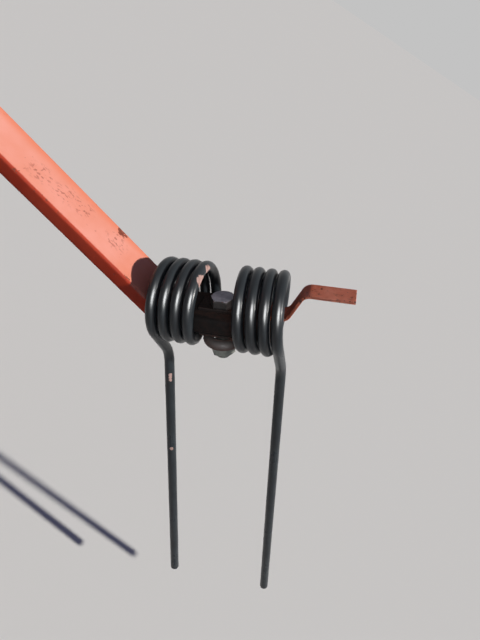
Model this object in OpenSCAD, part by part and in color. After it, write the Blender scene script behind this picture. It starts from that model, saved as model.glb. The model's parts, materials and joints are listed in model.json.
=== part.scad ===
// Tine arm of a hay tedder with its double coil-spring tine, in millimetres.
// The origin is the centre of the foot plate's top face, where the plate bolts under the rotor
// disc. +Z is the rotor's axis, upwards, and +X runs out along the arm.

/* [Tine wire] */
// Diameter of the spring wire
wire_d = 9.5; // [8:0.5:11]
// Mean diameter of both coils
coil_mean_d = 63.7; // [60:0.1:72]
// Turns of each coil from the bridge to the foremost point of its outermost turn
coil_turns = 3.75; // [2.75:1:5.75]
// Free gap between neighbouring turns
coil_gap = 0.93; // [0.4:0.01:2]
// Radius of the half loop that bridges the two coils around the bolt
bridge_r = 12.8; // [12:0.1:16]

/* [Tine legs] */
// Angle below the coil's foremost point at which the leg leaves the coil
leg_exit_angle = 35; // [25:1:50]
// Straight run from the coil to the corner of the leg
leg_neck = 47.8; // [40:0.1:60]
// Bend radius of the corner, to the wire's centre
leg_bend_r = 32; // [20:1:45]
// Length of the inner leg below its corner
inner_leg_length = 308.5; // [200:1:400]
// Length of the outer leg below its corner
outer_leg_length = 331.5; // [200:1:400]
// Forward lean of the inner leg
inner_lean_angle = 5.7; // [-5:0.1:12]
// Forward lean of the outer leg
outer_lean_angle = 2.4; // [-5:0.1:12]
// Sideways splay of the inner leg, away from the outer one
inner_leg_splay = 0.6; // [0:0.1:3]

/* [Arm] */
// Length of the arm from the middle of its weld on the plate to the corner of its bend
arm_length = 585; // [400:1:800]
// Droop of the arm below the rotor's plane
arm_droop = 17.5; // [10:0.5:25]
// Rise of the coils' axis above the rotor's plane
coil_rise = 28; // [15:0.5:35]
// Place along X where the arm's centre line meets the plate's underside
weld_x = -4.8; // [-12:0.1:0]
// Thickness of the flat bar
arm_t = 14.5; // [12:0.5:15]
// Radius of the bar's rolled edges
arm_edge_r = 3; // [2:0.5:5]
// Radius of the arm's bend, along its centre line
arm_bend_r = 24; // [16:1:40]
// Drop of the bar's top face below the coils' axis
end_drop = 0.85; // [0:0.05:3]
// Room between the bar's lower edges and the inside of the coils, which sets the bar's width
bar_room = 0.8; // [0.5:0.1:6]
// Depth of the corner of the arm's bend inside the inner coil's mouth
bend_inset = 7.5; // [4:0.1:10]
// Depth of the arm's tip inside the outer coil's mouth
tip_inset = 8.6; // [4:0.1:20]

/* [Foot plate] */
// Length of the plate along the arm
plate_l = 116; // [108:1:160]
// Width of the plate
plate_w = 116; // [112:1:150]
// Thickness of the plate
plate_t = 8; // [6:0.5:12]
// Corner radius of the plate
plate_corner_r = 12; // [6:1:16]
// Hole spacing along the arm
hole_spacing_x = 80; // [76:1:90]
// Hole spacing across the arm
hole_spacing_y = 84; // [82:1:88]
// Diameter of the four mounting holes
hole_d = 13; // [9:0.5:14]
// Thickness of the two side gussets
gusset_t = 5; // [4:0.5:6]
// Reach of the gussets along the arm
gusset_reach = 130; // [90:1:180]

/* [Retaining strap] */
// Width of the strap
strap_w = 20; // [16:0.5:26]
// Thickness of the strap
strap_t = 2.5; // [2:0.5:5]
// Length of the strap inboard of the bolt
strap_tail = 19; // [15:0.5:24]
// Depth of the strap's first bend inside the outer coil's mouth
strap_bend_inset = 1.2; // [0:0.1:6]
// Run of the strap's sloping part along the coils' axis
strap_run = 12.6; // [10:0.1:24]
// Rise of the strap's sloping part
strap_rise = 24.4; // [15:0.1:28]
// Length of the strap's raised tongue
strap_tongue = 39.2; // [20:0.1:50]
// Radius of both bends, along the strap's middle
strap_bend_r = 8; // [4:0.5:9]

/* [Bolt] */
// Diameter of the clamp bolt
bolt_d = 12; // [10:0.5:13]
// Width across the flats of its head and nut
hex_af = 19; // [18:0.5:20]
// Height of the bolt's head
head_h = 8; // [6:0.5:9]
// Height of the nut
nut_h = 10; // [8:0.5:12]
// Thread that stands out below the nut
thread_out = 4; // [1:0.5:6]
// Length of the saddle along the coils' axis
saddle_l = 30; // [24:0.5:40]

/* [Hidden] */
$fn = 48;
// Clearance between a round face and the piece that seats on it
seat_gap = 0.3;
// Clearance of the nut around the thread and below the bridge
thread_gap = 0.1;
// Clearance of the bolt in its holes
bolt_gap = 0.5;
// Sides of the wire's section, and the turn between two sections in the coils and in a bend
wire_sides = 12;
coil_step = 15;
bend_step = 11;
// Points around each rounded edge of the bar
edge_points = 5;
// Points around each bend of the strap
strap_points = 7;

wire_r = wire_d / 2;
coil_r = coil_mean_d / 2;
pitch = wire_d + coil_gap;
coil_bore_r = coil_r - wire_r;
outer_turn_x = bridge_r + pitch * coil_turns;
mouth_x = outer_turn_x + wire_r;
// The coil ends below its axis, a quarter turn before a whole number of turns
coil_end_angle = 360 * coil_turns;

bend_x = mouth_x - bend_inset;
tip_x = mouth_x - tip_inset;
end_bottom = -end_drop - arm_t;
end_mid = -end_drop - arm_t / 2;
// The bar's lower edges lie on a circle around the coils' axis
edge_circle = coil_bore_r - bar_room - arm_edge_r;
arm_width = 2 * (arm_edge_r + sqrt(pow(edge_circle, 2) - pow(end_bottom + arm_edge_r, 2)));

bend_point = [weld_x + arm_length * cos(arm_droop), -plate_t - arm_length * sin(arm_droop)];
// Where the bolt's axis crosses the coils' axis
coil_centre = [
    bend_point[0] + bend_x * cos(coil_rise) + end_mid * sin(coil_rise),
    0,
    bend_point[1] + bend_x * sin(coil_rise) - end_mid * cos(coil_rise)
];
bend_angle = arm_droop + coil_rise;
bend_cut = arm_bend_r * tan(bend_angle / 2);

strap_bend_x = mouth_x - strap_bend_inset;
strap_slope = atan2(strap_rise, strap_run);
strap_top = -end_drop + strap_t;
hex_r = hex_af / 2 / cos(30);
saddle_r = coil_bore_r - seat_gap;
// The nut's corners bear on the wire of the bridge
nut_top = -coil_r - sqrt(pow(wire_r, 2) - pow(bridge_r - hex_r, 2)) - thread_gap;
bolt_end = nut_top - nut_h - thread_out;

paint = [0.80, 0.27, 0.16];
rust = [0.45, 0.20, 0.13];
spring_steel = [0.27, 0.30, 0.32];
bolt_steel = [0.38, 0.37, 0.42];

function unit(v) = v / norm(v);

// A point of the arm's own frame, x along the arm and z square to it, in the row's X and Z
function arm_point(x, z) = [
    weld_x + x * cos(arm_droop) + z * sin(arm_droop),
    -plate_t - x * sin(arm_droop) + z * cos(arm_droop)
];

// Closes rings of points into one solid. Each ring turns counterclockwise as seen from the end
// that the rings run to.
module skin(rings) {
    n = len(rings[0]);
    last = (len(rings) - 1) * n;
    walls = [
        for (a = [0 : n : last - n], k = [0 : n - 1])
            let (next = (k + 1) % n) [a + k, a + n + k, a + n + next, a + next]
    ];
    caps = [[for (k = [0 : n - 1]) k], [for (k = [n - 1 : -1 : 0]) last + k]];
    polyhedron([for (ring = rings) each ring], concat(caps, walls));
}

// X along the coils' axis and Z up along the bolt
module in_coil_frame() {
    translate(coil_centre) rotate([0, -coil_rise, 0]) children();
}

// A rounded rectangle of true arcs, centred on the origin
module rounded(w, h, r) {
    square([w - 2 * r, h], center = true);
    square([w, h - 2 * r], center = true);
    for (x = [-1, 1], y = [-1, 1])
        translate([x * (w / 2 - r), y * (h / 2 - r)]) circle(r);
}

module foot_plate() {
    color(paint) difference() {
        translate([0, 0, -plate_t])
            linear_extrude(plate_t) rounded(plate_l, plate_w, plate_corner_r);
        for (x = [-1, 1], y = [-1, 1])
            translate([x * hole_spacing_x / 2, y * hole_spacing_y / 2, -plate_t - 1])
                cylinder(d = hole_d, h = plate_t + 2);
    }
}

module gusset(side) {
    edge = arm_t / 2 - arm_edge_r;
    color(paint)
        translate([0, side * (arm_width + gusset_t) / 2, 0])
            rotate([90, 0, 0])
                linear_extrude(gusset_t, center = true)
                    polygon([
                        [-plate_l / 2 + plate_corner_r, -plate_t],
                        [plate_l / 2 - plate_corner_r, -plate_t],
                        arm_point(gusset_reach, edge),
                        arm_point(gusset_reach, -edge),
                        arm_point(plate_corner_r, -edge)
                    ]);
}

module gusset_front() gusset(-1);
module gusset_back() gusset(1);

// One section of the arm around a point in X and Z, square to a direction that droops by angle
function arm_ring(point, angle) = [
    for (corner = [0 : 3], i = [0 : edge_points - 1])
        let (
            a = 90 * (corner + i / (edge_points - 1)),
            y = arm_edge_r * cos(a) + (arm_width / 2 - arm_edge_r) * sign(cos(90 * corner + 45)),
            z = arm_edge_r * sin(a) + (arm_t / 2 - arm_edge_r) * sign(sin(90 * corner + 45))
        )
            [point[0] + z * sin(angle), y, point[1] + z * cos(angle)]
];

// The sections of the bend, from the arm's droop to the coils' rise
function bend_rings() =
    let (
        steps = ceil(bend_angle / bend_step),
        centre = arm_point(arm_length - bend_cut, arm_bend_r)
    ) [
        for (i = [0 : steps])
            let (a = arm_droop - bend_angle * i / steps)
                arm_ring(centre - arm_bend_r * [sin(a), cos(a)], a)
    ];

module arm_bar() {
    tip = bend_point + (tip_x + bend_x) * [cos(coil_rise), sin(coil_rise)];
    color(paint) difference() {
        skin([
            arm_ring(arm_point(-4 * arm_t, 0), arm_droop),
            each bend_rings(),
            arm_ring(tip, -coil_rise)
        ]);
        translate([-arm_length / 2, -arm_width, -plate_t])
            cube([arm_length, 2 * arm_width, arm_length]);
        in_coil_frame() translate([0, 0, end_bottom - 1])
            cylinder(d = bolt_d + bolt_gap, h = arm_t + 2);
    }
}

// One bend of the strap at a corner, from one heading to another, offset to the left of its middle
function strap_bend(corner, from, to, offset) =
    let (
        left = sign(to - from),
        cut = strap_bend_r * tan(abs(to - from) / 2),
        centre = corner - cut * [cos(from), sin(from)] + left * strap_bend_r * [-sin(from), cos(from)]
    ) [
        for (i = [0 : strap_points - 1])
            let (a = from + (to - from) * i / (strap_points - 1))
                centre + (offset - left * strap_bend_r) * [-sin(a), cos(a)]
    ];

// The strap's edge at an offset above its middle, from its tail to the tongue's end
function strap_edge(offset) =
    let (low = strap_top - strap_t / 2, top_x = strap_bend_x + strap_run, high = low + strap_rise)
    concat(
        [[-strap_tail, low + offset]],
        strap_bend([strap_bend_x, low], 0, strap_slope, offset),
        strap_bend([top_x, high], strap_slope, 0, offset),
        [[top_x + strap_tongue, high + offset]]
    );

module retaining_strap() {
    lower = strap_edge(-strap_t / 2);
    upper = strap_edge(strap_t / 2);
    color(rust) in_coil_frame() difference() {
        rotate([90, 0, 0]) linear_extrude(strap_w, center = true)
            polygon(concat(lower, [for (i = [len(upper) - 1 : -1 : 0]) upper[i]]));
        translate([0, 0, -end_drop - 1]) cylinder(d = bolt_d + bolt_gap, h = strap_t + 2);
    }
}

module saddle() {
    color(rust) in_coil_frame() difference() {
        translate([-saddle_l / 2, 0, 0]) rotate([0, 90, 0]) cylinder(r = saddle_r, h = saddle_l);
        translate([-saddle_l, -coil_r, end_bottom]) cube([2 * saddle_l, 2 * coil_r, 2 * coil_r]);
        translate([0, 0, -coil_r]) cylinder(d = bolt_d + bolt_gap, h = coil_r);
    }
}

// A hexagonal prism whose lower edge is chamfered at 30 degrees
module chamfered_hex(h) {
    intersection() {
        cylinder(r = hex_r, h = h, $fn = 6);
        cylinder(r1 = hex_af / 2, r2 = hex_af / 2 + h / tan(30), h = h);
    }
}

module clamp_bolt() {
    color(bolt_steel) in_coil_frame() {
        translate([0, 0, strap_top + head_h]) mirror([0, 0, 1]) chamfered_hex(head_h);
        translate([0, 0, bolt_end]) cylinder(d = bolt_d, h = strap_top - bolt_end);
    }
}

module nut() {
    color(bolt_steel) in_coil_frame() translate([0, 0, nut_top - nut_h]) difference() {
        chamfered_hex(nut_h);
        translate([0, 0, -1]) cylinder(d = bolt_d + 2 * thread_gap, h = nut_h + 2);
    }
}

module spring_bridge() {
    color(spring_steel) in_coil_frame() translate([0, 0, -coil_r])
        rotate([0, 0, 180]) rotate_extrude(angle = 180) translate([bridge_r, 0]) circle(wire_r);
}

// One section of the wire around a point, square to its direction. v lies across the section.
function wire_ring(point, direction, v) = [
    for (k = [0 : wire_sides - 1])
        let (t = 360 * (k + 0.5) / wire_sides)
            point + wire_r * (cos(t) * cross(v, direction) + sin(t) * v)
];

// The wire's centre at an angle from the coil's foremost point, up over the top
function coil_point(side, a) = [
    side * (outer_turn_x - pitch * a / 360),
    -coil_r * cos(a),
    coil_r * sin(a)
];

module coil(side) {
    turn = coil_end_angle + leg_exit_angle;
    steps = ceil(turn / coil_step);
    color(spring_steel) in_coil_frame() skin([
        for (i = [0 : steps])
            let (a = turn * i / steps - leg_exit_angle)
                wire_ring(coil_point(side, a), [0, sin(a), cos(a)], [1, 0, 0])
    ]);
}

module inner_coil() coil(-1);
module outer_coil() coil(1);

// Wire from one point to another by way of a corner with a bend
module bent_wire(from, corner, to) {
    d1 = unit(corner - from);
    d2 = unit(to - corner);
    turn = acos(d1 * d2);
    steps = ceil(turn / bend_step);
    inward = unit(d2 - (d1 * d2) * d1);
    axis = cross(d1, inward);
    centre = corner - leg_bend_r * tan(turn / 2) * d1 + leg_bend_r * inward;
    skin([
        wire_ring(from, d1, axis),
        for (i = [0 : steps])
            let (a = turn * i / steps)
                wire_ring(
                    centre + leg_bend_r * (sin(a) * d1 - cos(a) * inward),
                    cos(a) * d1 + sin(a) * inward,
                    axis
                ),
        wire_ring(to, d2, axis)
    ]);
}

module tine(side, length, lean, splay) {
    start = coil_point(side, -leg_exit_angle);
    corner = start + leg_neck * [0, sin(leg_exit_angle), -cos(leg_exit_angle)];
    down = unit([side * tan(splay), -tan(lean), -1]);
    color(spring_steel) in_coil_frame() bent_wire(start, corner, corner + length * down);
}

module inner_tine() tine(-1, inner_leg_length, inner_lean_angle, inner_leg_splay);
module outer_tine() tine(1, outer_leg_length, outer_lean_angle, 0);

foot_plate();
gusset_front();
gusset_back();
arm_bar();
retaining_strap();
saddle();
clamp_bolt();
nut();
spring_bridge();
inner_coil();
outer_coil();
inner_tine();
outer_tine();
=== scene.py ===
# %% [markdown]
# # The tine arm of a hay tedder
# A tedder spreads mown grass with turning rotors, and each rotor carries several of these arms.
# The arm is a flat steel bar. A foot plate bolts one end of it under the rotor, and a double
# spring tine is clamped to the other end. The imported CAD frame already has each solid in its
# place. This notebook dresses it with round wire, softened edges, welds, a thread, and the
# paint, rust and scuffs of a machine that has worked for years.

# %% Load the frame and keep its box
import json
import math

import bmesh
import bpy
from mathutils import Matrix, Vector, kdtree, noise


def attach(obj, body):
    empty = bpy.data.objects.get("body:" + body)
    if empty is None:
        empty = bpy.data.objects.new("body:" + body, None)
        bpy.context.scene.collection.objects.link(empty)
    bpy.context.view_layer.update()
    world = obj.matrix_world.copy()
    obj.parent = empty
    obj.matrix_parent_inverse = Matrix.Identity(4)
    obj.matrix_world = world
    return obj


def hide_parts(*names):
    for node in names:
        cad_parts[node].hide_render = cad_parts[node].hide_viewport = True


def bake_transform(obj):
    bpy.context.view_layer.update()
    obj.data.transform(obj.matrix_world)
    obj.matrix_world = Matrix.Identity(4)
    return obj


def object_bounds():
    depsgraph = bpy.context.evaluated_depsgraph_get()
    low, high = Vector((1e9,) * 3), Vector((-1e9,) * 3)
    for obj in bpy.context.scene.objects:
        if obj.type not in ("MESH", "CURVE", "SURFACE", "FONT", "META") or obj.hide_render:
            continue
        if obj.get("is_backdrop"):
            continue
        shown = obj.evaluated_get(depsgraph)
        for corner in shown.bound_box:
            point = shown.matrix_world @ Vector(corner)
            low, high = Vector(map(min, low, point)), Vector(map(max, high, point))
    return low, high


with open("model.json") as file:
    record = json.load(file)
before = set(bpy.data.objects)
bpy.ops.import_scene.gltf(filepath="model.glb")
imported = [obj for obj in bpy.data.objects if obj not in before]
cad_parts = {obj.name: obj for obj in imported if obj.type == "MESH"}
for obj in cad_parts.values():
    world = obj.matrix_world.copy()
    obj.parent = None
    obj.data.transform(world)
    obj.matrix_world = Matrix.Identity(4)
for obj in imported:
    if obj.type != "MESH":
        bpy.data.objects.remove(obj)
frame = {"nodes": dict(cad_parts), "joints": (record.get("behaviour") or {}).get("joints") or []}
cad_low, cad_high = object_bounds()
MM = 0.001
print("CAD box in mm:", [round(v / MM) for v in cad_high - cad_low])

# %% [markdown]
# ## Where the spring sits
# Both coils turn about one line, and the tines flex about it too. So the frame's first joint
# tells where that line is. A matrix for it lets the wire be wound in easy numbers, with X along
# the coils and Z up the clamp bolt, and then be laid in place in one move. The bar itself slopes
# down from the hub, and rises again only where it goes through the coils.

# %% The coils' own axes and the bar's slope
hinge = frame["joints"][0]
coil_middle = Vector(hinge["pos_m"])
coil_rise = math.atan2(hinge["axis"][2], hinge["axis"][0])
coil_frame = Matrix.Translation(coil_middle) @ Matrix.Rotation(-coil_rise, 4, "Y")
arm_droop = math.radians(17.5)
print("coils rise by", round(math.degrees(coil_rise), 1), "degrees")


def by_coils(x, y, z):
    """A place in millimetres from the coils' middle, along their own axes."""
    return coil_frame @ (Vector((x, y, z)) * MM)


# %% [markdown]
# ## The camera
# The photograph looks down on the spring from the front right, with the arm coming in from the
# upper left. The camera was found from the wire's straight legs and the round coils. It could be
# aimed by angles, but here it is given by its place and by the directions of its view and of its
# picture's upper edge, because a matrix takes those as they are.

# %% Set the camera at the photograph's viewing angle
eye = Vector((0.57844, -0.3339, 0.07554))
looking = Vector((0.0805, 0.8183, -0.5691)).normalized()
picture_up = Vector((-0.5180, 0.5222, 0.6775))
picture_right = looking.cross(picture_up).normalized()
picture_up = picture_right.cross(looking)
photo_focal = 479
photo_long_side = 640
camera_data = bpy.data.cameras.new("photo_camera")
camera_data.sensor_width = 36
camera_data.lens = photo_focal / photo_long_side * camera_data.sensor_width
camera_data.clip_start = 0.02
camera = bpy.data.objects.new("photo_camera", camera_data)
turned = Matrix((picture_right, picture_up, -looking)).transposed().to_4x4()
camera.matrix_world = Matrix.Translation(eye) @ turned
bpy.context.scene.collection.objects.link(camera)
bpy.context.scene.camera = camera
print("lens in mm:", round(camera_data.lens, 2))

# %% [markdown]
# ## Node helpers
# A material is a small graph. Each of its nodes could be made, set and joined in lines of its
# own, but then a finish fills pages. These helpers do one node in one line, so that a finish
# reads like a recipe.

# %% Add a node and feed its sockets
def feed(tree, node, inputs):
    """Gives each named or numbered socket its value, or joins it to another node's output."""
    for key, value in inputs.items():
        if isinstance(value, bpy.types.NodeSocket):
            tree.links.new(value, node.inputs[key])
        else:
            node.inputs[key].default_value = value


def add(tree, kind, inputs=None, **settings):
    """A new node, with its settings made and its inputs fed."""
    made = tree.nodes.new(kind)
    for name, value in settings.items():
        setattr(made, name, value)
    feed(tree, made, inputs or {})
    return made


# %% Lay colours over each other and calculate with masks
def lay_over(tree, mask, below, above):
    """The colour above where the mask is 1, and the colour below where it is 0."""
    mixed = add(tree, "ShaderNodeMix", {0: mask, 6: below, 7: above}, data_type="RGBA")
    return mixed.outputs[2]


def calculate(tree, operation, first, second=0.0, clamp=False):
    """One Math node."""
    done = add(tree, "ShaderNodeMath", {0: first, 1: second}, operation=operation, use_clamp=clamp)
    return done.outputs[0]


def any_of(tree, masks):
    """As strong as the strongest of the masks."""
    joined = masks[0]
    for mask in masks[1:]:
        joined = calculate(tree, "MAXIMUM", joined, mask)
    return joined


# %% Change a value's range
def rescale(tree, value, low, high, to_low, to_high, way="LINEAR"):
    """Runs from to_low to to_high while the value runs from low to high, and stops there."""
    ends = {0: value, 1: low, 2: high, 3: to_low, 4: to_high}
    return add(tree, "ShaderNodeMapRange", ends, interpolation_type=way).outputs[0]


def step_between(tree, value, low, high):
    """0 at low and 1 at high, with a soft change between them. It may also run down."""
    return rescale(tree, value, low, high, 0.0, 1.0, way="SMOOTHSTEP")


# %% Read noise and distance
def noise_at(tree, place, scale, detail, roughness=0.5):
    return add(tree, "ShaderNodeTexNoise", {
        "Vector": place, "Scale": scale, "Detail": detail, "Roughness": roughness,
    }).outputs[0]


def near_to(tree, place, centre, inner, outer):
    """1 within inner of a point, falling to 0 at outer."""
    apart = add(tree, "ShaderNodeVectorMath", {0: place, 1: centre}, operation="DISTANCE")
    return step_between(tree, apart.outputs["Value"], outer, inner)


# %% [markdown]
# ## Effects that several finishes share
# Paint, rust and bare steel all need patches that come and go, chips along edges, and rust
# itself. They could be built anew in each material. Here each is a node group with named inputs
# and outputs, built once and placed in each material with its own values.

# %% A group and its sockets
def new_group(name, inputs, outputs):
    """An empty group. inputs maps names to a default, outputs maps names to a kind."""
    tree = bpy.data.node_groups.new(name, "ShaderNodeTree")
    for label, value in inputs.items():
        kind = "NodeSocketVector" if value is None else "NodeSocketFloat"
        made = tree.interface.new_socket(label, in_out="INPUT", socket_type=kind)
        if value is not None:
            made.default_value = value
    for label, kind in outputs.items():
        tree.interface.new_socket(label, in_out="OUTPUT", socket_type=kind)
    return tree, add(tree, "NodeGroupInput").outputs, add(tree, "NodeGroupOutput")


def place_group(tree, group, inputs):
    """The outputs of the group, placed as one node of a material."""
    return add(tree, "ShaderNodeGroup", inputs, node_tree=group).outputs


# %% Patches that come and go
patches, given, result = new_group(
    "Patches",
    {"Vector": None, "Scale": 40.0, "From": 0.45, "To": 0.6, "Roughness": 0.6},
    {"Mask": "NodeSocketFloat"},
)
cloud = noise_at(patches, given["Vector"], given["Scale"], 6.0, given["Roughness"])
feed(patches, result, {"Mask": step_between(patches, cloud, given["From"], given["To"])})
print("group", patches.name, "has", len(patches.nodes), "nodes")


def patchy(tree, place, scale, low, high, roughness=0.6):
    """1 where the clouds are above high, and 0 where they are below low."""
    return place_group(tree, patches, {
        "Vector": place, "Scale": scale, "From": low, "To": high, "Roughness": roughness,
    })["Mask"]


# %% [markdown]
# Paint chips first where two faces meet. A bevel node could find those edges, but it casts many
# rays and gives no distance. So each piece carries the distance from every point to its nearest
# sharp edge, in millimetres, as an attribute. The group lets a ragged border of that distance
# grow and shrink with a noise, as real chips do.

# %% Chips along the edges
edge_chips, given, result = new_group(
    "Edge chips",
    {"Vector": None, "Edge distance": 10.0, "Reach": 1.5, "Scale": 160.0},
    {"Mask": "NodeSocketFloat"},
)
ragged = noise_at(edge_chips, given["Vector"], given["Scale"], 5.0, 0.65)
grown = rescale(edge_chips, ragged, 0.42, 0.75, -0.5, 1.0)
border = calculate(edge_chips, "MULTIPLY", grown, given["Reach"])
inside = calculate(edge_chips, "SUBTRACT", border, given["Edge distance"])
feed(edge_chips, result, {"Mask": step_between(edge_chips, inside, -0.15, 0.25)})
print("group", edge_chips.name, "has", len(edge_chips.nodes), "nodes")


def chipped(tree, place, reach, scale):
    """1 where the edges have chipped, up to reach millimetres from them."""
    edge = add(tree, "ShaderNodeAttribute", attribute_name="edge_mm").outputs["Fac"]
    return place_group(tree, edge_chips, {
        "Vector": place, "Edge distance": edge, "Reach": reach, "Scale": scale,
    })["Mask"]


# %% [markdown]
# Rust is never one brown. Old rust is dark and purple, and fresh rust is orange and powdery. The
# group mixes them with two noises, one coarse and one fine, and gives a height for the bumps.

# %% Rust
rust, given, result = new_group(
    "Rust",
    {"Vector": None, "Scale": 90.0, "Fresh": 0.5},
    {"Colour": "NodeSocketColor", "Height": "NodeSocketFloat"},
)
coarse = noise_at(rust, given["Vector"], given["Scale"], 5.0, 0.6)
fine_scale = calculate(rust, "MULTIPLY", given["Scale"], 7.0)
fine = noise_at(rust, given["Vector"], fine_scale, 3.0, 0.7)
fresh_from = calculate(rust, "SUBTRACT", 0.8, calculate(rust, "MULTIPLY", given["Fresh"], 0.5))
fresh_to = calculate(rust, "ADD", fresh_from, 0.22)
old_rust = lay_over(rust, fine, (0.050, 0.014, 0.010, 1), (0.130, 0.040, 0.022, 1))
new_rust = lay_over(rust, fine, (0.240, 0.065, 0.024, 1), (0.420, 0.130, 0.055, 1))
fresh = step_between(rust, coarse, fresh_from, fresh_to)
grain = calculate(rust, "ADD", coarse, calculate(rust, "MULTIPLY", fine, 0.6))
feed(rust, result, {"Colour": lay_over(rust, fresh, old_rust, new_rust), "Height": grain})
print("group", rust.name, "has", len(rust.nodes), "nodes")


def rusty(tree, place, scale, fresh):
    """The Colour and Height of rust, of which fresh says how much is new."""
    return place_group(tree, rust, {"Vector": place, "Scale": scale, "Fresh": fresh})


# %% [markdown]
# ## Starting a material
# Every finish here reads Object coordinates, which stay on a piece when it moves. The wire is the
# exception: its pattern has to follow the wire round the coils, so the mesh carries the place
# that each point had while the wire was still straight. The finishes are kept by the names of the
# record's slots, so that a later scene can repaint them.

# %% A material with its shader and coordinates
finishes = {}


def new_material(name):
    made = bpy.data.materials.new(name)
    made.use_nodes = True
    tree = made.node_tree
    return made, tree, tree.nodes["Principled BSDF"], add(tree, "ShaderNodeTexCoord").outputs


def bump(tree, shader, height, distance):
    """Relief as high as distance, in metres, where the height changes by 1."""
    made = add(tree, "ShaderNodeBump", {"Height": height, "Distance": distance, "Strength": 1.0})
    feed(tree, shader, {"Normal": made.outputs[0]})


def keep_finish(slot, made):
    finishes[slot] = made
    print(slot, "is", made.name, "with", len(made.node_tree.nodes), "nodes")


# %% [markdown]
# ## The arm's paint
# The arm is sprayed orange-red. Its upper side has stood in the sun for years and has chalked to a
# pinkish orange, while the sides have kept their colour. Part of that pale pink is painted sheen,
# standing for sunlight glaring off the top. One colour with a noise over it could not show that, so the
# paint looks which way it faces. Towards the back edge and beside the coils the top has been sheltered,
# and is redder again.

# %% Chalked paint and painted sheen
def chalk_and_top_sheen(tree, place, mottle, normal):
    kept = lay_over(tree, mottle, (0.560, 0.046, 0.014, 1), (0.660, 0.068, 0.024, 1))
    chalk_and_sheen = lay_over(tree, mottle, (0.870, 0.320, 0.220, 1), (0.930, 0.390, 0.300, 1))
    sideways = add(tree, "ShaderNodeSeparateXYZ", {0: place}).outputs[1]
    back_edge = step_between(tree, sideways, 0.008, 0.023)
    beside_coils = near_to(tree, place, coil_middle, 0.050, 0.105)
    sheltered = calculate(tree, "MULTIPLY", any_of(tree, [back_edge, beside_coils]), 0.8)
    chalk_and_sheen = lay_over(tree, sheltered, chalk_and_sheen, (0.860, 0.225, 0.105, 1))
    # Painted sheen over real chalking: faces that look up get the paler colour.
    upwards = add(tree, "ShaderNodeSeparateXYZ", {0: normal}).outputs[2]
    return lay_over(tree, step_between(tree, upwards, 0.72, 0.94), kept, chalk_and_sheen)


# %% [markdown]
# Stones have left small dark marks on top, in a few clusters and here and there. A cluster is a
# fine noise that only shows near a point.

# %% Stone marks
STONE_MARKS = (
    (415.9, -3.5, -133.1),
    (437.6, -0.7, -139.9),
    (452.3, 3.2, -144.6),
    (488.2, 3.3, -155.9),
)


def stone_marks(tree, place, laid):
    drawn = add(tree, "ShaderNodeMapping", {"Vector": laid, "Scale": (0.75, 1, 1)}).outputs[0]
    scratch = patchy(tree, drawn, 400.0, 0.54, 0.62, roughness=0.5)
    near = [near_to(tree, place, Vector(at) * MM, 0.004, 0.015) for at in STONE_MARKS]
    clusters = calculate(tree, "MULTIPLY", any_of(tree, near), scratch)
    pits = calculate(tree, "MULTIPLY", patchy(tree, laid, 190.0, 0.67, 0.72), 0.6)
    return any_of(tree, [clusters, pits])


# %% [markdown]
# Paint is lost along the edges, in one patch at the back edge, and in rings that the bolts have
# worn round the foot plate's holes. The four holes lie alike about the plate's middle, so the
# ABSOLUTE of a place brings all of them onto one. A grain frays the borders.

# %% Lost paint
CHIPPED_PATCH = Vector((487.0, 19.0, -155.5)) * MM
PLATE_HOLE = Vector((40.0, 42.0, 0.0)) * MM


def fray(tree, mask, grainy, amount, low, high):
    """The mask with its soft border broken up by the grain."""
    rough = calculate(tree, "ADD", mask, calculate(tree, "MULTIPLY", grainy, amount))
    return step_between(tree, rough, low, high)


def lost_paint(tree, place, laid, grainy):
    some_edges = patchy(tree, laid, 24.0, 0.48, 0.6)
    chips = calculate(tree, "MULTIPLY", chipped(tree, laid, 2.0, 210.0), some_edges)
    patch = calculate(tree, "MULTIPLY", near_to(tree, place, CHIPPED_PATCH, 0.002, 0.011), 0.7)
    folded = add(tree, "ShaderNodeVectorMath", {0: place}, operation="ABSOLUTE").outputs[0]
    rings = near_to(tree, folded, PLATE_HOLE, 0.0095, 0.0125)
    worn = fray(tree, any_of(tree, [patch, rings]), grainy, 0.5, 0.7, 0.85)
    return any_of(tree, [chips, worn])
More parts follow.
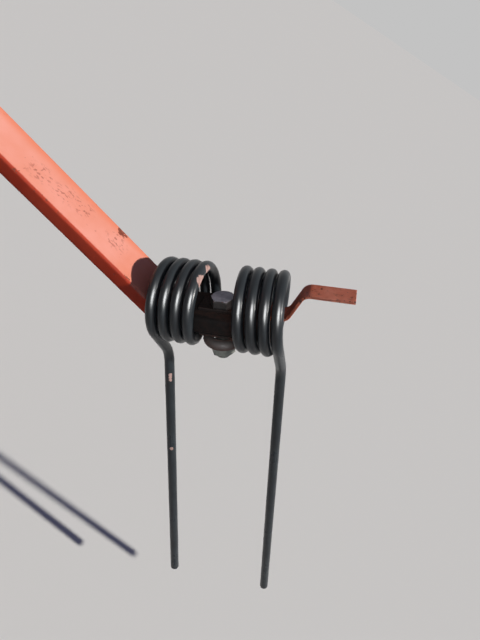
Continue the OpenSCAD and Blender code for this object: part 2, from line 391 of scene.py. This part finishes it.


# %% [markdown]
# Within the coils the paint has gone, and grease and old rust are left. There the bar is also painted
# near black as painted shade, because the coils keep the light off it. All of it is laid on in the
# order in which it came: paint, marks, bare steel, then grease and painted shade. The paint's thickness
# is a bump, so that a chip has a rim.

# %% Arm paint
def make_arm_paint():
    made, tree, shader, where = new_material("orange_paint_chalk_and_painted_light")
    place = where["Object"]
    laid = add(tree, "ShaderNodeMapping", {"Vector": place, "Rotation": (0, -arm_droop, 0)}).outputs[0]
    mottle = patchy(tree, laid, 22.0, 0.3, 0.75)
    grainy = patchy(tree, laid, 170.0, 0.3, 0.7)
    marks = stone_marks(tree, place, laid)
    bare = lost_paint(tree, place, laid, grainy)
    # Painted shade with real grease: near the coils' middle the bar goes near black.
    blackened = fray(tree, near_to(tree, place, coil_middle, 0.050, 0.060), grainy, 0.4, 0.4, 0.8)
    mark_strength = calculate(tree, "MULTIPLY", marks, 0.6)
    primer = lay_over(tree, 0.5, rusty(tree, laid, 160.0, 0.6)["Colour"], (0.420, 0.110, 0.070, 1))
    grease_and_shade = lay_over(tree, grainy, (0.008, 0.005, 0.004, 1), (0.034, 0.013, 0.009, 1))
    colour = chalk_and_top_sheen(tree, place, mottle, where["Normal"])
    colour = lay_over(tree, mark_strength, colour, (0.380, 0.095, 0.060, 1))
    colour = lay_over(tree, bare, colour, primer)
    colour = lay_over(tree, blackened, colour, grease_and_shade)
    gloss = rescale(tree, mottle, 0.0, 1.0, 0.62, 0.74)
    dull = calculate(tree, "MULTIPLY", any_of(tree, [bare, blackened]), 0.2)
    thickness = calculate(tree, "SUBTRACT", 1.0, any_of(tree, [bare, marks, blackened]))
    ripple = calculate(tree, "MULTIPLY", noise_at(tree, laid, 300.0, 2.0), 0.25)
    bump(tree, shader, calculate(tree, "ADD", thickness, ripple), 0.00018)
    feed(tree, shader, {
        "Base Color": colour,
        "Roughness": calculate(tree, "ADD", gloss, dull, clamp=True),
        "Specular IOR Level": 0.06,
    })
    return made


keep_finish("arm_paint", make_arm_paint())

# %% [markdown]
# ## The strap
# The strap stands in the light. Its thin paint has gone an even, rusty orange, with dark chips along
# its edges. Its end under the bolt head, within the coils, is painted near black: painted shade, with
# some grease. It could share the arm's paint, but it is so much smaller that all its patterns have to
# be finer.

# %% Strap finish
def make_strap_finish():
    made, tree, shader, where = new_material("rusted_orange_paint")
    place = where["Object"]
    rusted = rusty(tree, place, 300.0, 0.5)
    unchipped = calculate(tree, "SUBTRACT", 1.0, chipped(tree, place, 1.6, 330.0))
    left = calculate(tree, "MULTIPLY", patchy(tree, place, 230.0, 0.25, 0.46), unchipped)
    cloudy = patchy(tree, place, 60.0, 0.3, 0.7)
    paint = lay_over(tree, cloudy, (0.700, 0.160, 0.075, 1), (0.880, 0.290, 0.175, 1))
    colour = lay_over(tree, left, rusted["Colour"], paint)
    # Painted shade: near the coils' middle the strap goes near black.
    painted_shade_by_bolt = near_to(tree, place, coil_middle, 0.034, 0.052)
    colour = lay_over(tree, painted_shade_by_bolt, colour, (0.022, 0.010, 0.008, 1))
    bump(tree, shader, calculate(tree, "ADD", rusted["Height"], left), 0.00022)
    feed(tree, shader, {
        "Base Color": colour,
        "Roughness": rescale(tree, left, 0.0, 1.0, 0.85, 0.6),
        "Specular IOR Level": 0.08,
    })
    return made


keep_finish("rusted_strap", make_strap_finish())

# %% [markdown]
# ## The saddle's rusted steel
# The saddle sits where wet hay collects, so its paint is gone. It is nearly black with old rust
# and grease. A plain dark colour would look like plastic, so both come from the shared groups,
# with hardly any fresh rust.

# %% Rusted steel
def make_rusted_steel():
    made, tree, shader, where = new_material("old_rust")
    rusted = rusty(tree, where["Object"], 130.0, 0.15)
    blackened = patchy(tree, where["Object"], 90.0, 0.3, 0.6)
    colour = lay_over(tree, blackened, rusted["Colour"], (0.010, 0.006, 0.005, 1))
    bump(tree, shader, rusted["Height"], 0.0003)
    feed(tree, shader, {"Base Color": colour, "Roughness": 0.85, "Specular IOR Level": 0.08})
    return made


keep_finish("rusted_steel", make_rusted_steel())

# %% [markdown]
# ## The spring wire's coating
# The wire is hard drawn steel with a thin blue-black coat. It is smooth enough to show a narrow
# bright line along each turn, and between the lines it is almost black. Drawing leaves faint
# streaks along the wire. They follow it round the coils, so they read the place on the straight
# wire, which is stretched along its length. The coat has rubbed off in a few small spots, which
# are given by a place, the radius that is bare and the radius where the coat is whole again.

# %% Rubbed spots
RUBBED_SPOTS = (
    ((-14.0, -13.0, 28.0), 2.0, 8.0),
    ((-13.8, 3.0, 30.5), 2.0, 7.0),
    ((-50.8, -5.3, -81.0), 0.3, 2.8),
    ((-50.9, -5.6, -84.0), 0.3, 2.5),
    ((-51.0, -5.9, -87.0), 0.3, 2.4),
    ((-52.6, -14.6, -172.0), 0.4, 3.0),
)


def rubbed(tree, place, ragged):
    spots = any_of(tree, [
        near_to(tree, place, by_coils(*at), bare * MM, whole * MM) for at, bare, whole in RUBBED_SPOTS
    ])
    worn = calculate(tree, "MULTIPLY", spots, calculate(tree, "ADD", ragged, 0.4))
    return step_between(tree, worn, 0.3, 0.5)


# %% [markdown]
# The loop of wire under the bolt never dries, and has rusted dark. The rust is darkened further towards
# near black as painted shade, since the loop lies deep under the coils. Both lie in a soft ball around
# the lowest place of the loop, which the rest of the coils hardly touch.

# %% Spring coat
COIL_R = 31.85 * MM
LOOP_BOTTOM = by_coils(0, -6.0, -COIL_R / MM)


def make_spring_coat():
    made, tree, shader, where = new_material("wire_coat")
    place = where["Object"]
    straight = add(tree, "ShaderNodeAttribute", attribute_name="wire_place").outputs["Vector"]
    stretched = add(tree, "ShaderNodeMapping", {"Vector": straight, "Scale": (1, 1, 0.05)}).outputs[0]
    streaks = noise_at(tree, stretched, 900.0, 3.0, 0.6)
    cloudy = patchy(tree, straight, 28.0, 0.3, 0.7)
    mixed = calculate(tree, "MULTIPLY", calculate(tree, "ADD", streaks, cloudy), 0.5)
    ragged = patchy(tree, straight, 260.0, 0.3, 0.6)
    specks = calculate(tree, "MULTIPLY", patchy(tree, straight, 240.0, 0.7, 0.74), 0.5)
    bare = any_of(tree, [rubbed(tree, place, ragged), specks])
    loop = near_to(tree, place, LOOP_BOTTOM, 0.014, 0.021)
    loop = calculate(tree, "MULTIPLY", loop, calculate(tree, "ADD", ragged, 0.5), clamp=True)
    coat = lay_over(tree, mixed, (0.008, 0.010, 0.013, 1), (0.032, 0.041, 0.047, 1))
    pale = lay_over(tree, ragged, (0.360, 0.200, 0.165, 1), (0.520, 0.330, 0.285, 1))
    rusted = rusty(tree, straight, 200.0, 0.4)["Colour"]
    # Painted shade over real rust: the loop's rust is darkened towards near black.
    rust_and_shade = lay_over(tree, 0.35, rusted, (0.030, 0.014, 0.010, 1))
    colour = lay_over(tree, loop, lay_over(tree, bare, coat, pale), rust_and_shade)
    gloss = rescale(tree, mixed, 0.2, 0.8, 0.36, 0.26)
    dull = calculate(tree, "MULTIPLY", any_of(tree, [bare, loop]), 0.45)
    dents = noise_at(tree, straight, 120.0, 2.0)
    height = calculate(tree, "ADD", calculate(tree, "MULTIPLY", streaks, 0.15), dents)
    bump(tree, shader, calculate(tree, "SUBTRACT", height, bare), 0.00012)
    feed(tree, shader, {
        "Base Color": colour,
        "Roughness": calculate(tree, "ADD", gloss, dull, clamp=True),
        "Specular IOR Level": 0.3,
    })
    return made


keep_finish("spring_paint", make_spring_coat())

# %% [markdown]
# ## Bolt steel
# The bolt and nut were zinc plated. The plating has gone dull, violet grey on the head's top and
# greenish on the nut. The head's sides are painted near black as painted shade, and rust comes through
# at the corners, where the spanner bites. Two materials could do it, but one that reads the place and
# the way it faces keeps the bolt a single slot.

# %% Bolt steel
NUT_PLACE = by_coils(0, 0, -42.0)
UP_THE_BOLT = coil_frame.to_3x3() @ Vector((0, 0, 1))


def make_bolt_steel():
    made, tree, shader, where = new_material("dull_zinc")
    place = where["Object"]
    cloudy = patchy(tree, place, 150.0, 0.3, 0.7)
    chips = chipped(tree, place, 1.3, 420.0)
    top = lay_over(tree, cloudy, (0.150, 0.145, 0.175, 1), (0.270, 0.260, 0.300, 1))
    nut = lay_over(tree, cloudy, (0.110, 0.120, 0.105, 1), (0.230, 0.240, 0.215, 1))
    ways = {0: where["Normal"], 1: UP_THE_BOLT}
    upright = add(tree, "ShaderNodeVectorMath", ways, operation="DOT_PRODUCT").outputs["Value"]
    # Painted shade: away from the nut, faces that don't look up the bolt go near black.
    head = lay_over(tree, step_between(tree, upright, 0.6, 0.95), (0.014, 0.010, 0.010, 1), top)
    plating = lay_over(tree, near_to(tree, place, NUT_PLACE, 0.013, 0.016), head, nut)
    colour = lay_over(tree, chips, plating, rusty(tree, place, 260.0, 0.4)["Colour"])
    rust_share = calculate(tree, "MULTIPLY", chips, 0.25)
    bump(tree, shader, cloudy, 0.0001)
    feed(tree, shader, {
        "Base Color": colour,
        "Metallic": calculate(tree, "SUBTRACT", 0.25, rust_share, clamp=True),
        "Roughness": rescale(tree, chips, 0.0, 1.0, 0.55, 0.9),
        "Specular IOR Level": 0.3,
    })
    return made


keep_finish("bolt_steel", make_bolt_steel())

# %% [markdown]
# ## Turning a mesh into a piece
# Every new mesh ends the same way. It becomes an object at the origin, its faces are shaded
# smooth but for its sharp edges, and it takes a finish, a body to ride on and a material slot.

# %% Finish a mesh as a piece
SHARP = math.radians(38)


def finish_piece(name, bm, slot, body="arm", stands_for=(), weigh=False):
    bmesh.ops.recalc_face_normals(bm, faces=bm.faces)
    mesh = bpy.data.meshes.new(name)
    bm.to_mesh(mesh)
    bm.free()
    mesh.shade_smooth()
    mesh.set_sharp_from_angle(angle=SHARP)
    mesh.materials.append(finishes[slot])
    piece = bpy.data.objects.new(name, mesh)
    bpy.context.scene.collection.objects.link(piece)
    if weigh:
        piece.modifiers.new("Flat faces stay flat", "WEIGHTED_NORMAL").keep_sharp = True
    if body:
        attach(piece, body)
    if stands_for:
        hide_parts(*stands_for)
    print(name, "has", len(mesh.polygons), "faces")
    return piece


# %% [markdown]
# ## Dressing the CAD's own plates and bars
# The plate, the gussets, the strap, the saddle, the bolt and the arm have the right shape in the
# CAD, but with edges like knives. They could be built again, but a copy of the CAD's mesh can't
# be the wrong size. The chips need to know how far each point is from a sharp edge. A kd-tree of
# points along those edges answers that quickly, and the answer is kept at each vertex.

# %% Measure how far each point is from an edge
def edge_points(edges, gap=0.0015):
    found = []
    for e in edges:
        parts = max(1, math.ceil(e.calc_length() / gap))
        found += [e.verts[0].co.lerp(e.verts[1].co, i / parts) for i in range(parts + 1)]
    tree = kdtree.KDTree(len(found))
    for i, point in enumerate(found):
        tree.insert(point, i)
    tree.balance()
    return tree


def note_edges(bm, distance):
    """Keeps for each vertex the distance to an edge in mm, which a function tells of its place."""
    layer = bm.verts.layers.float.new("edge_mm")
    for v in bm.verts:
        v[layer] = distance(v.co)


# %% [markdown]
# A vertex attribute is only as fine as the mesh, so the flats are divided into small triangles.
# The arm's facets are half a metre long and thin as needles where the bar bends. Dividing those
# leaves slivers, so the bar is first sliced crosswise like bread. The slices come out in another
# order on each run, so the parts are then sorted by their place along a skew line, where no two
# of them should meet. That way each run gives the same mesh.

# %% Divide the flats
SLICE = 0.008
SLICES = 87
FIRST_SLICE = -0.04
SKEW = Vector((1.0, 0.7713, 0.3391))


def divide(bm, longest):
    bmesh.ops.triangulate(bm, faces=bm.faces)
    for _ in range(9):
        too_long = [e for e in bm.edges if e.calc_length() > longest]
        if not too_long:
            break
        bmesh.ops.subdivide_edges(bm, edges=too_long, cuts=1)
        bmesh.ops.triangulate(bm, faces=bm.faces)


def slice_along(bm, way):
    for i in range(SLICES):
        whole = bm.verts[:] + bm.edges[:] + bm.faces[:]
        place = way * (i * SLICE + FIRST_SLICE)
        bmesh.ops.bisect_plane(bm, geom=whole, dist=0.000002, plane_co=place, plane_no=way)
    bm.verts.sort(key=lambda v: v.co.dot(SKEW))
    bm.edges.sort(key=lambda e: (e.verts[0].co + e.verts[1].co).dot(SKEW))
    bm.faces.sort(key=lambda f: f.calc_center_median().dot(SKEW))


# %% [markdown]
# A node's mesh is loose triangles. A copy of it is merged, the lines across its flats are
# dissolved, and the corners that are left are bevelled. Bends in the bar are sharp enough to wear
# but not to bevel, so there are two angles. What is still degenerate at the end is dissolved.

# %% Copy a node and soften its corners
FAR_FROM_EDGES = 12.0
FLAT_ANGLE = math.radians(0.8)


def from_node(node, soften, longest, corner_angle=50, worn_angle=50, slice_way=None):
    bm = bmesh.new()
    bm.from_mesh(frame["nodes"][node].data)
    bmesh.ops.remove_doubles(bm, verts=bm.verts, dist=0.000004)
    bmesh.ops.dissolve_limit(bm, angle_limit=FLAT_ANGLE, verts=bm.verts, edges=bm.edges)
    folds = {e: math.degrees(e.calc_face_angle(0)) for e in bm.edges}
    tree = edge_points([e for e in bm.edges if folds[e] > worn_angle])
    corners = [e for e in bm.edges if folds[e] > corner_angle]
    bmesh.ops.bevel(
        bm, geom=corners, offset=soften, segments=3, profile=0.5, affect="EDGES", material=-1,
        clamp_overlap=True,
    )
    if slice_way:
        slice_along(bm, slice_way)
    divide(bm, longest)
    bmesh.ops.remove_doubles(bm, verts=bm.verts, dist=0.00001)
    bmesh.ops.dissolve_degenerate(bm, dist=0.00001, edges=bm.edges)
    note_edges(bm, lambda place: min(tree.find(place)[2] / MM, FAR_FROM_EDGES))
    return bm


# %% [markdown]
# Each node is named with its piece, its finish, how far its corners are softened and how long its
# triangles' sides may be. The bolt and the nut have chamfers and flats at small angles, which are
# corners too.

# %% Dress the plates, bars and the arm
down_the_arm = Vector((math.cos(arm_droop), 0, -math.sin(arm_droop)))
fine_corners = {"corner_angle": 25, "worn_angle": 25}
for name, node, slot, soften, longest, more in (
    ("plate", "foot_plate", "arm_paint", 0.0009, 0.006, {}),
    ("front_gusset", "gusset_front", "arm_paint", 0.0007, 0.006, {}),
    ("back_gusset", "gusset_back", "arm_paint", 0.0007, 0.006, {}),
    ("arm_body", "arm_bar", "arm_paint", 0.0008, 0.009, {"worn_angle": 18, "slice_way": down_the_arm}),
    ("strap", "retaining_strap", "rusted_strap", 0.0007, 0.004, {}),
    ("wire_saddle", "saddle", "rusted_steel", 0.0007, 0.004, {}),
    ("bolt", "clamp_bolt", "bolt_steel", 0.0004, 0.003, fine_corners),
    ("hex_nut", "nut", "bolt_steel", 0.0004, 0.003, fine_corners),
):
    dressed = from_node(node, soften, longest, **more)
    finish_piece(name, dressed, slot, stands_for=[node], weigh=True)

# %% [markdown]
# ## Weld beads
# The gussets are welded to the foot plate and to the bar, and the bar to the plate. A bead could
# be a curve with a round bevel, but that would be a smooth rod. It swells and shrinks every few
# millimetres, where the welder paused. So a small ring is extruded along the corner between two
# parts, step by step, and each new ring is scaled and shifted a little. The ends close to a small
# flat.

# %% Lay a bead along a line
RIPPLE = 3.4 * MM
BEAD_SIDES = 10


def bead_size(step, steps, run, place):
    """How thick the bead is there, as a share of its radius."""
    pulse = 0.90 + 0.14 * abs(math.sin(math.pi * run / RIPPLE)) + 0.12 * noise.noise(place * 160)
    return pulse * min(1.0, 0.45 + 0.25 * min(step, steps - step))


def lay_bead(bm, begin, end, radius):
    length = (end - begin).length
    across = (end - begin).normalized().to_track_quat("Z", "Y").to_matrix().to_4x4()
    steps = max(4, round(length / (RIPPLE / 4)))
    verts = bmesh.ops.create_circle(bm, segments=BEAD_SIDES, radius=1.0)["verts"]
    ring = bm.edges[-BEAD_SIDES:]
    first_ring = ring
    previous = Matrix.Identity(4)
    for step in range(steps + 1):
        place = begin.lerp(end, step / steps)
        size = radius * bead_size(step, steps, step * length / steps, place)
        laid = Matrix.Translation(place) @ across @ Matrix.Diagonal((size, size, size, 1))
        if step:
            made = bmesh.ops.extrude_edge_only(bm, edges=ring)["geom"]
            verts = [g for g in made if isinstance(g, bmesh.types.BMVert)]
            ring = [g for g in made if isinstance(g, bmesh.types.BMEdge) and set(g.verts) <= set(verts)]
        bmesh.ops.transform(bm, matrix=laid @ previous.inverted(), verts=verts)
        previous = laid
    for open_end in (first_ring, ring):
        bmesh.ops.edgeloop_fill(bm, edges=open_end)


# %% [markdown]
# The beads follow the plate's underside, or the bar, whose own axes lie on the droop line. A
# place on the bar is given as a distance along it, a distance sideways and a height above its
# middle. The chips take a bead for an edge all over, because it stands proud.

# %% Weld the arm together
ARM_START = Vector((-4.8, 0, -8.0))
BEAD_EDGE = 0.9


def on_plate(x, y, z):
    return Vector((x, y, z)) * MM


def on_bar(along, y, up):
    turned = Matrix.Rotation(arm_droop, 3, "Y") @ Vector((along, 0, up))
    return (ARM_START + turned + Vector((0, y, 0))) * MM


welds = bmesh.new()
for side in (-1, 1):
    for at, begin, end, radius in (
        (on_plate, (-44, side * 28.6, -8.9), (44, side * 28.6, -8.9), 2.9),
        (on_bar, (14, side * 23.7, -5.2), (128, side * 23.7, -5.2), 2.2),
        (on_bar, (131, side * 23.6, -4), (131, side * 23.6, 4), 2.3),
        (on_bar, (46, side * 22.0, 8.0), (98, side * 22.0, 8.0), 2.1),
    ):
        lay_bead(welds, at(*begin), at(*end), radius * MM)
lay_bead(welds, on_plate(27, -19, -9.4), on_plate(27, 19, -9.4), 2.2 * MM)
lay_bead(welds, on_plate(-29.6, -20, -9.0), on_plate(-29.6, 20, -9.0), 2.6 * MM)
note_edges(welds, lambda place: BEAD_EDGE)
finish_piece("weld_beads", welds, "arm_paint")

# %% [markdown]
# ## The bolt's thread
# The nut leaves a few millimetres of the bolt showing. A bump could draw its thread, but its
# outline would stay smooth. So a small three-sided ridge is spun around the bolt's axis while it
# rises, one pitch for each turn, and its root sinks into the rod.

# %% Spin the thread
THREAD_PITCH = 1.75
THREAD_TURNS = 2.0
THREAD_SHAPE = ((5.7, 0, -50.1), (6.4, 0, -49.3), (5.7, 0, -48.5))
THREAD_EDGE = 0.6
thread = bmesh.new()
profile = [thread.verts.new(Vector(at) * MM) for at in THREAD_SHAPE]
ridge = [thread.edges.new((profile[i - 1], profile[i])) for i in range(3)]
steps = int(THREAD_TURNS * 32)
spun = bmesh.ops.spin(
    thread, geom=profile + ridge, cent=(0, 0, 0), axis=(0, 0, 1), angle=math.tau * THREAD_TURNS,
    steps=steps, dvec=(0, 0, THREAD_PITCH * THREAD_TURNS * MM / steps), use_merge=False,
)
last = [g for g in spun["geom_last"] if isinstance(g, bmesh.types.BMEdge)]
for open_end in (ridge, last):
    bmesh.ops.edgeloop_fill(thread, edges=open_end)
bmesh.ops.transform(thread, matrix=coil_frame, verts=thread.verts)
note_edges(thread, lambda place: THREAD_EDGE)
finish_piece("bolt_thread", thread, "bolt_steel")

# %% [markdown]
# ## The spring wire
# On the real machine one wire makes both legs, both coils and the loop around the bolt. It could
# be a curve with a round bevel, but then its pattern could not follow it. Here a ring of the
# wire's section walks along the path. At each step it is extruded and turned or moved, and the
# new ring notes how far along the straight wire it would be.

# %% Walk a ring along the wire's path
WIRE_R = 4.75 * MM
SIDES = 28


def start_wire(place, heading, run):
    """An open ring around a place, square to the heading, at that run along the straight wire."""
    bm = bmesh.new()
    laid = bm.verts.layers.float_vector.new("wire_place")
    made = bmesh.ops.create_circle(bm, segments=SIDES, radius=WIRE_R)["verts"]
    for v in made:
        v[laid] = v.co + Vector((0, 0, run))
    facing = Vector(heading).to_track_quat("Z", "Y").to_matrix().to_4x4()
    bmesh.ops.transform(bm, matrix=Matrix.Translation(place) @ facing, verts=made)
    return bm, bm.edges[:]


def grow(bm, ring, move, run):
    """Extrudes the open ring, moves the new one and adds the run to its place on the wire."""
    laid = bm.verts.layers.float_vector["wire_place"]
    made = bmesh.ops.extrude_edge_only(bm, edges=ring)["geom"]
    verts = [g for g in made if isinstance(g, bmesh.types.BMVert)]
    bmesh.ops.transform(bm, matrix=move, verts=verts)
    for v in verts:
        v[laid] = v[laid] + Vector((0, 0, run))
    return [g for g in made if isinstance(g, bmesh.types.BMEdge) and set(g.verts) <= set(verts)]


# %% Turn, go straight and round off
TIP_STEPS = ((0.5, 0.9), (0.35, 0.72))
TIP_LENGTH = sum(forward for forward, narrower in TIP_STEPS) * MM


def turn(bm, ring, centre, axis, angle, radius, steps, advance=(0, 0, 0)):
    around = Matrix.Rotation(angle / steps, 4, Vector(axis))
    to_centre = Matrix.Translation(centre)
    move = Matrix.Translation(Vector(advance) / steps) @ to_centre @ around @ to_centre.inverted()
    for _ in range(steps):
        ring = grow(bm, ring, move, abs(angle) * radius / steps)
    return ring


def go_straight(bm, ring, way, steps):
    for _ in range(steps):
        ring = grow(bm, ring, Matrix.Translation(way / steps), way.length / steps)
    return ring


def round_off_tip(bm, ring, tip, way):
    """The cut end of the real wire is a little rounded from use, so it narrows in two steps."""
    for forward, narrower in TIP_STEPS:
        tip = tip + way * forward * MM
        shrink = Matrix.Translation(tip) @ Matrix.Scale(narrower, 4) @ Matrix.Translation(-tip)
        ring = grow(bm, ring, shrink @ Matrix.Translation(way * forward * MM), forward * MM)
    bmesh.ops.edgeloop_fill(bm, edges=ring)


# %% [markdown]
# The loop is half a circle around the bolt, level with the lowest points of the coils. The run
# along the straight wire is counted from the loop's middle, so that the streaks go on into both
# coils.

# %% The loop around the bolt
BRIDGE_R = 12.8 * MM
BRIDGE_RUN = math.pi / 2 * BRIDGE_R
COIL_BOTTOM = Vector((0, 0, -COIL_R))
bridge, ring = start_wire(COIL_BOTTOM + Vector((-BRIDGE_R, 0, 0)), (0, -1, 0), -BRIDGE_RUN)
first_ring = ring
ring = turn(bridge, ring, COIL_BOTTOM, (0, 0, 1), math.pi, BRIDGE_R, 32)
for open_end in (first_ring, ring):
    bmesh.ops.edgeloop_fill(bridge, edges=open_end)
bmesh.ops.transform(bridge, matrix=coil_frame, verts=bridge.verts)
finish_piece("wire_bridge", bridge, "spring_paint", stands_for=["spring_bridge"])

# %% [markdown]
# Each coil goes on from the loop's end and winds outwards. The leg leaves it along its tangent,
# runs a short neck and bends down at a corner. A leg leans back by one angle and splays outwards
# by another.

# %% One coil with its leg
PITCH = 10.43 * MM
EXIT_ANGLE = math.radians(35)
WOUND = math.radians(3.75 * 360) + EXIT_ANGLE
COIL_LENGTH = PITCH * WOUND / math.tau
NECK = 47.8 * MM
LEG_BEND_R = 32 * MM


def wind_half(side, leg_length, lean, splay):
    bm, ring = start_wire(COIL_BOTTOM + Vector((side * BRIDGE_R, 0, 0)), (0, 1, 0), BRIDGE_RUN)
    bmesh.ops.edgeloop_fill(bm, edges=ring)
    outwards = Vector((side * COIL_LENGTH, 0, 0))
    ring = turn(bm, ring, (0, 0, 0), (1, 0, 0), WOUND, COIL_R, 280, outwards)
    tangent = Vector((0, math.sin(EXIT_ANGLE), -math.cos(EXIT_ANGLE)))
    leave = Vector((side * (BRIDGE_R + COIL_LENGTH), COIL_R * tangent.z, -COIL_R * tangent.y))
    down = Vector((side * math.tan(splay), -math.tan(lean), -1)).normalized()
    bend = tangent.angle(down)
    cut = LEG_BEND_R * math.tan(bend / 2)
    axis = tangent.cross(down).normalized()
    corner = leave + NECK * tangent
    ring = go_straight(bm, ring, tangent * (NECK - cut), 5)
    centre = corner - cut * tangent + LEG_BEND_R * axis.cross(tangent)
    ring = turn(bm, ring, centre, axis, bend, LEG_BEND_R, 14)
    length = leg_length - cut - TIP_LENGTH
    ring = go_straight(bm, ring, down * length, 40)
    round_off_tip(bm, ring, corner + down * (cut + length), down)
    bmesh.ops.transform(bm, matrix=coil_frame, verts=bm.verts)
    return bm


# %% [markdown]
# When hay pushes a leg back, the whole coil twists a little, most in its middle turns. Here each half
# of the wire becomes a piece with no body, the CAD's coil and tine are hidden, and its place is baked
# into its mesh.

# %% Wind both halves
legs = {"inner": (-1, 308.5, 5.7, 0.6), "outer": (1, 331.5, 2.4, 0.0)}
for which, (side, leg_length, lean, splay) in legs.items():
    half = wind_half(side, leg_length * MM, math.radians(lean), math.radians(splay))
    tine = finish_piece(which + "_spring_tine", half, "spring_paint", body=None)
    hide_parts(which + "_coil", which + "_tine")
    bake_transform(tine)

# %% [markdown]
# ## Floor, light and world
# The floor is a plain pale sheet well below the tines. It is paler to the camera than to the
# object, so that little light bounces off it onto the steel. Glossy and transmission rays see
# what the camera sees.

# %% Floor
SEEN_BY = ("Is Camera Ray", "Is Glossy Ray", "Is Transmission Ray")


def as_seen(tree, to_others, to_camera):
    """One colour for rays that look at it, and another for light that bounces off it."""
    rays = add(tree, "ShaderNodeLightPath").outputs
    return lay_over(tree, any_of(tree, [rays[ray] for ray in SEEN_BY]), to_others, to_camera)


floor_mesh = bmesh.new()
bmesh.ops.create_grid(floor_mesh, x_segments=1, y_segments=1, size=30)
bmesh.ops.translate(floor_mesh, vec=(0, 0, cad_low.z - 0.09), verts=floor_mesh.verts)
floor_data = bpy.data.meshes.new("floor")
floor_mesh.to_mesh(floor_data)
floor_mesh.free()
floor = bpy.data.objects.new("floor", floor_data)
bpy.context.scene.collection.objects.link(floor)
floor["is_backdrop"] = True
pale, tree, shader, _ = new_material("floor")
floor_colour = as_seen(tree, (0.27, 0.262, 0.25, 1), (0.70, 0.695, 0.66, 1))
feed(tree, shader, {"Base Color": floor_colour, "Roughness": 0.95, "Specular IOR Level": 0.0})
floor_data.materials.append(pale)
print("floor lies at z in mm:", round(floor_data.vertices[0].co.z / MM))

# %% [markdown]
# One strong lamp stands high on the right and a little in front, where the sun stood, so the
# coil's shadow falls on the arm as it does in the photograph. Its direction was found from that
# shadow.

# %% Sun
sun_from = Vector((0.761, -0.102, 0.640))
lamp_data = bpy.data.lights.new("sun", "SUN")
lamp_data.energy = 3.6
lamp_data.angle = math.radians(2.0)
lamp_data.color = (1.0, 0.97, 0.93)
lamp = bpy.data.objects.new("sun", lamp_data)
lamp.rotation_euler = sun_from.to_track_quat("Z", "Y").to_euler()
bpy.context.scene.collection.objects.link(lamp)
print("sun stands", round(math.degrees(math.asin(sun_from.normalized().z))), "degrees high")

# %% [markdown]
# A square panel stands in front of the coils. A weaker lamp would brighten the whole arm, so the
# panel lights no dull surface, and shows only as the soft bright line along each turn of the
# smooth wire.

# %% Panel
panel_from = coil_frame.to_3x3() @ Vector((0.38, -0.80, 0.46))
panel_data = bpy.data.lights.new("panel", "AREA")
panel_data.energy = 135
panel_data.size = 1.0
panel = bpy.data.objects.new("panel", panel_data)
facing = panel_from.to_track_quat("Z", "Y").to_matrix().to_4x4()
panel.matrix_world = Matrix.Translation(coil_middle + panel_from.normalized() * 1.6) @ facing
panel.visible_camera = False
panel.visible_diffuse = False
bpy.context.scene.collection.objects.link(panel)
print("panel is", panel_data.size, "m wide")

# %% [markdown]
# The world fills the shadows with a weak, bluish light, as a clear sky does. To the camera it is
# a plain pale grey that meets the floor without a seam.

# %% World
world = bpy.data.worlds.new("pale_room")
world.use_nodes = True
bpy.context.scene.world = world
tree = world.node_tree
sky_colour = as_seen(tree, (0.078, 0.084, 0.145, 1), (0.545, 0.545, 0.545, 1))
feed(tree, tree.nodes["Background"], {"Color": sky_colour})
bpy.context.scene.view_settings.view_transform = "Standard"
print("world is", world.name)

# %% Print how far the dressed part stands beyond the CAD box
low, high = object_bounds()
beyond = [round(v / MM, 1) for v in (*(cad_low - low), *(high - cad_high))]
print("the dressed part stands beyond the CAD box by, in mm:", beyond)
